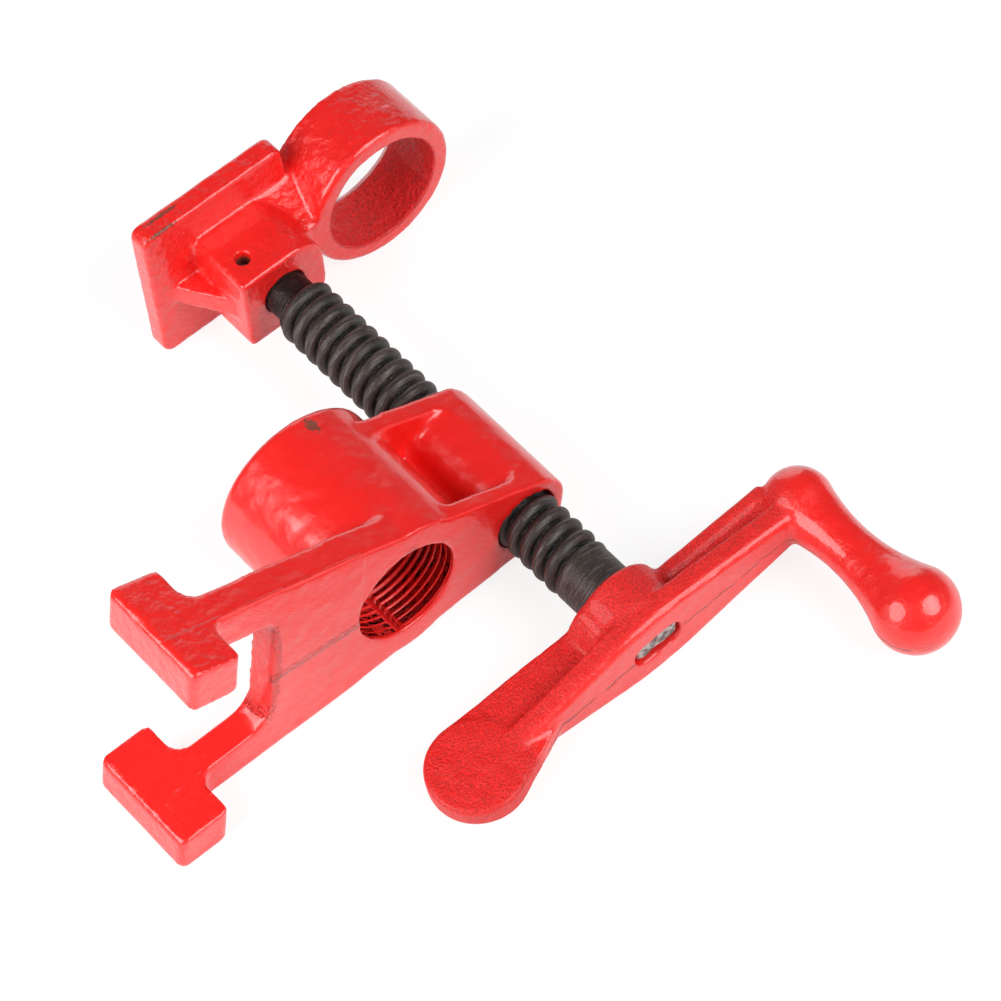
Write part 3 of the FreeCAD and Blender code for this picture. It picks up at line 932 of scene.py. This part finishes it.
def screw_radius(x, angle):
    """Radius of the screw from its tip, past the neck and the thread, to the end of the shank."""
    ridge = 1 - np.abs(ridge_place(x, angle, LEAD, THREAD_PHASE)) ** RIDGE_ROUNDNESS
    thread = THREAD_ROOT + (THREAD_CREST - THREAD_ROOT) * ridge
    thread = thread + (SHANK_RADIUS - thread) * smooth(x, *RUN_OUT)
    shoulder = NECK_RADIUS + (x - THREAD_START) * SHOULDER_SLOPE + SHOULDER_STEP
    body = np.maximum(np.minimum(thread, shoulder), NECK_RADIUS)
    radius = np.where(x < THREAD_START, NECK_RADIUS, body)
    groove = np.abs(x - GROOVE_PLACE) < GROOVE_WIDTH / 2
    radius = np.where(groove, GROOVE_RADIUS, radius)
    return np.minimum(radius, NECK_RADIUS - TIP_BEVEL + (x - TIP))


screw = ring_tube("screw_steel", THREAD_CREST, TIP, SHANK_END, SCREW_SIDES, SCREW_CUTS, "TRIFAN")
set_radius(screw, screw_radius)
screw.data.transform(SCREW @ Matrix.Scale(MM, 4))
keep_inside(screw, "clamp_screw")
dress(screw, oxide_steel)
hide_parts("clamp_screw")
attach(screw, "screw")
print(screw.name, len(screw.data.polygons), "faces")

# %% [markdown]
# ## The peened tang
# The flat end of the screw comes through the handle's slot and is hammered over, so it shows as bare
# grey metal with hammer marks. A bevelled block is remeshed, softened on all sides alike, and dented
# deeper than the castings are.

# %% Tang
TANG_PLACE = (37.9, 0.3, 0.25)
TANG_SIZE = (7.4, 11.6, 5.2)
TANG_BEVEL = 1.4
TANG_VOXEL = 0.25
TANG_ROUNDS = 6
HAMMER_MARK = 1.6
HAMMER_DEPTH = 0.35
bpy.ops.object.select_all(action="DESELECT")
bpy.ops.mesh.primitive_cube_add(size=1)
tang = bpy.context.object
tang.name = "peened_tang"
tang.data.transform(Matrix.Translation(TANG_PLACE) @ Matrix.Diagonal((*TANG_SIZE, 1)))
apply_modifier(tang, "BEVEL", width=TANG_BEVEL, segments=4)
apply_modifier(tang, "REMESH", mode="VOXEL", voxel_size=TANG_VOXEL)
soften(tang, TANG_ROUNDS, TANG_ROUNDS)
tang.data.transform(HANDLE @ Matrix.Scale(MM, 4))
roughen(tang, HAMMER_MARK, HAMMER_DEPTH)
dress(tang, plain_steel)
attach(tang, "screw")
print(tang.name, len(tang.data.polygons), "faces")

# %% [markdown]
# ## The pin and the disc
# The jaw's pin and the disc behind the screw's end are turned steel, hardly seen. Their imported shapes
# are right as they are, so they only take the bare steel.

# %% Pin and disc
for node in ("jaw_pin", "thrust_disc"):
    steel_piece = frame["nodes"][node]
    steel_piece.data.materials.clear()
    steel_piece.data.materials.append(plain_steel.material)
    print(node, "takes", plain_steel.material.name)

# %% [markdown]
# ## The floor
# The clamp lies on white paper. To the camera the paper glows almost white by itself, and the little
# grey that the lamps add to it keeps a soft shadow. In reflections it glows much less. For all other
# light it is plain pale paper, which sends light up into the clamp.

# %% Floor
PAPER = rgb(0.85, 0.85, 0.85)
SEEN_PAPER = rgb(0.25, 0.25, 0.25)
NO_GLOW = rgb(0, 0, 0)
MIRRORED_GLOW = rgb(0.22, 0.22, 0.22)
SEEN_GLOW = rgb(0.83, 0.83, 0.83)
FLOOR_SIZE = 12.0


def paper():
    """White paper that looks different to the camera, to reflections and to other light."""
    finish = Finish("white_paper")
    rays = finish.tree.nodes.new("ShaderNodeLightPath")
    kinds = ("Is Camera Ray", "Is Glossy Ray", "Is Transmission Ray")
    seen, glossy, passed = (Socket(finish, rays.outputs[kind]) for kind in kinds)
    mirrored = glossy.math("ADD", glossy, passed, clamp=True)
    finish.set(Base_Color=finish.mix(seen, PAPER, SEEN_PAPER))
    finish.set(Roughness=0.9, Specular_IOR_Level=0.0)
    glow = finish.mix(mirrored, NO_GLOW, MIRRORED_GLOW)
    finish.set(Emission_Color=finish.mix(seen, glow, SEEN_GLOW), Emission_Strength=1.0)
    return finish


bpy.ops.mesh.primitive_plane_add(size=FLOOR_SIZE, location=(0, 0, cad_box[0][Z_AXIS]))
floor = bpy.context.object
floor.name = "floor"
floor.data.materials.append(paper().material)
print("floor at height", round(floor.location.z, 4))

# %% [markdown]
# ## The lights
# Two soft boxes and a far panel, as a product photographer would hang them: a small one low beyond
# the feet, a large strong one high on the handle's side, and a wide panel low beyond the jaw. A dim
# even light from all round keeps the darkest places from going black.

# %% Lights
KNOB = Vector((80.0, 75.0, 12.0)) * MM
WORLD_GREY = rgb(0.10, 0.10, 0.10)


def softbox(name, direction, distance, size, power):
    """Round lamp that looks at the handle's knob from a direction in the clamp's own frame."""
    towards = (HEAD.to_3x3() @ Vector(direction)).normalized()
    lamp = bpy.data.lights.new(name, "AREA")
    lamp.shape = "DISK"
    lamp.size = size
    lamp.energy = power
    box = bpy.data.objects.new(name, lamp)
    bpy.context.collection.objects.link(box)
    box.rotation_euler = (-towards).to_track_quat("-Z", "Y").to_euler()
    box.location = HEAD @ KNOB + towards * distance
    print(name, power, "W")


softbox("left_softbox", (-0.204, -0.919, 0.345), distance=0.66, size=0.50, power=3.4)
softbox("right_softbox", (0.632, 0.126, 0.766), distance=0.90, size=0.78, power=7.9)
softbox("far_panel", (-0.85, 0.40, 0.20), distance=1.3, size=1.1, power=4.0)

world = bpy.data.worlds.new("even_light")
bpy.context.scene.world = world
world.use_nodes = True
world.node_tree.nodes["Background"].inputs["Color"].default_value = WORLD_GREY
bpy.context.scene.view_settings.view_transform = "Standard"
